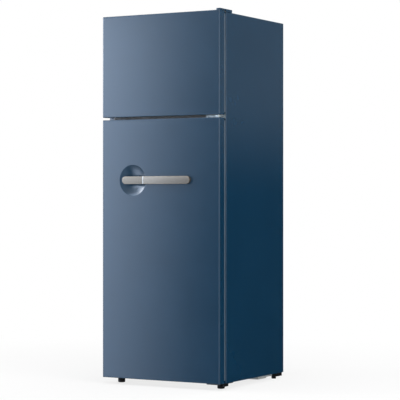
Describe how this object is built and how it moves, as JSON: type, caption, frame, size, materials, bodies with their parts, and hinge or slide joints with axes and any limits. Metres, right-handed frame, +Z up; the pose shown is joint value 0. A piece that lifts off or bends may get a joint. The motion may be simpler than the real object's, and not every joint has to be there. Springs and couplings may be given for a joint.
{
  "type": "top-freezer refrigerator",
  "caption": "Upright household refrigerator with a freezer on top, right-hinged doors, a bar handle over a round finger dish, shelves, door bins, a crisper drawer and levelling feet.",
  "frame": {"origin": "on the floor under the middle of the bounding box", "axes": "+Z up, -Y out of the doors, +X to the right as seen from the front"},
  "size_m": [0.52, 0.5364, 1.427],
  "materials": {
    "blue_paint": "navy blue semi-gloss enamel on steel sheet",
    "blue_plastic": "moulded plastic coloured like the doors",
    "galvanised_steel": "galvanised sheet",
    "foam": null,
    "white_liner": "vacuum-formed white liner",
    "white_trim": "white moulded plastic",
    "grey_rail_paint": "grey painted steel strip",
    "grey_plug": "grey moulded plug",
    "copper_tube": "drawn copper tube",
    "shelf_glass": "toughened clear glass",
    "white_wire": "plastic-coated steel wire",
    "clear_bin": "clear moulded plastic",
    "lamp_diffuser": "milky moulded lens",
    "circuit_board": "white circuit board",
    "black_paint": "black paint",
    "black_plastic": "black moulded plastic",
    "black_rubber": "black rubber",
    "grey_gasket": "grey soft vinyl seal with a magnet strip",
    "zinc_steel": "zinc-plated steel",
    "brushed_handle": "satin brushed aluminium",
    "polished_band": "polished chrome"
  },
  "bodies": {
    "cabinet": {"back_panel": "galvanised_steel", "base_panel": "galvanised_steel", "bottom_hinge": "black_paint", "cabinet_foam": "foam", "cabinet_wrapper": "blue_paint", "compressor": "black_paint", "compressor_grommets": "black_rubber", "compressor_tray": "galvanised_steel", "condenser_coils": "copper_tube", "control_box": "white_trim", "cord_gland": "black_rubber", "crisper_shelf_glass": "shelf_glass", "discharge_tube": "copper_tube", "door_switch": "white_trim", "drain_tube": "black_rubber", "drip_pan": "white_trim", "evaporator_coil": "copper_tube", "filter_drier": "copper_tube", "freezer_liner": "white_liner", "freezer_rack": "white_wire", "fridge_liner": "white_liner", "lamp_board": "circuit_board", "lamp_lens": "lamp_diffuser", "left_corner_plate": "black_paint", "lower_shelf_glass": "shelf_glass", "middle_hinge": "zinc_steel", "mullion_plugs": "grey_plug", "mullion_rail": "grey_rail_paint", "rear_feet": "black_plastic", "screws_and_bolts": "zinc_steel", "shelf_ledges": "white_liner", "shelf_trims": "white_trim", "suction_tube": "copper_tube", "terminal_cover": "black_plastic", "thermostat": "white_trim", "top_hinge": "zinc_steel", "top_hinge_cover": "blue_plastic", "upper_shelf_glass": "shelf_glass"},
    "freezer_door": {"freezer_door_skin": "blue_paint", "freezer_door_caps": "blue_plastic", "freezer_door_liner": "white_liner", "freezer_door_foam": "foam", "freezer_door_gasket": "grey_gasket", "freezer_door_bins": "clear_bin"},
    "fridge_door": {"fridge_door_skin": "blue_paint", "fridge_door_caps": "blue_plastic", "fridge_door_liner": "white_liner", "fridge_door_foam": "foam", "fridge_door_gasket": "grey_gasket", "fridge_door_bottle_bin": "clear_bin", "fridge_door_upper_bins": "clear_bin", "fridge_door_dish": "blue_plastic", "handle_bar": "brushed_handle", "handle_grip": "brushed_handle", "handle_band": "polished_band"},
    "crisper_drawer": {"crisper_drawer": "clear_bin"},
    "thermostat_knob": {"thermostat_knob": "white_trim"},
    "switch_plunger": {"switch_plunger": "white_trim"},
    "front_foot_left": {"front_foot_left": "black_plastic"},
    "front_foot_right": {"front_foot_right": "black_plastic"}
  },
  "joints": [
    {"name": "freezer_door_hinge", "type": "hinge", "parent": "cabinet", "child": "freezer_door", "pos_m": [0.246, -0.2368, 1.225], "axis": [0, 0, 1], "range_deg": [0, 130]},
    {"name": "fridge_door_hinge", "type": "hinge", "parent": "cabinet", "child": "fridge_door", "pos_m": [0.246, -0.2368, 0.5225], "axis": [0, 0, 1], "range_deg": [0, 130]},
    {"name": "crisper_drawer_slide", "type": "slide", "parent": "cabinet", "child": "crisper_drawer", "axis": [0, -1, 0], "range_m": [0, 0.035]},
    {"name": "thermostat_knob_turn", "type": "hinge", "parent": "cabinet", "child": "thermostat_knob", "pos_m": [0.045, -0.12, 0.972], "axis": [0, -1, 0], "range_deg": [0, 280]},
    {"name": "switch_plunger_slide", "type": "slide", "parent": "cabinet", "child": "switch_plunger", "axis": [0, -1, 0], "range_m": [0, 0.008]},
    {"name": "front_foot_left_screw", "type": "slide", "parent": "cabinet", "child": "front_foot_left", "axis": [0, 0, 1], "range_m": [-0.01, 0]},
    {"name": "front_foot_right_screw", "type": "slide", "parent": "cabinet", "child": "front_foot_right", "axis": [0, 0, 1], "range_m": [-0.01, 0]}
  ],
  "couplings": [
    {"joint": "switch_plunger_slide", "follows": "fridge_door_hinge", "m_per_rad": 0.0035215}
  ]
}
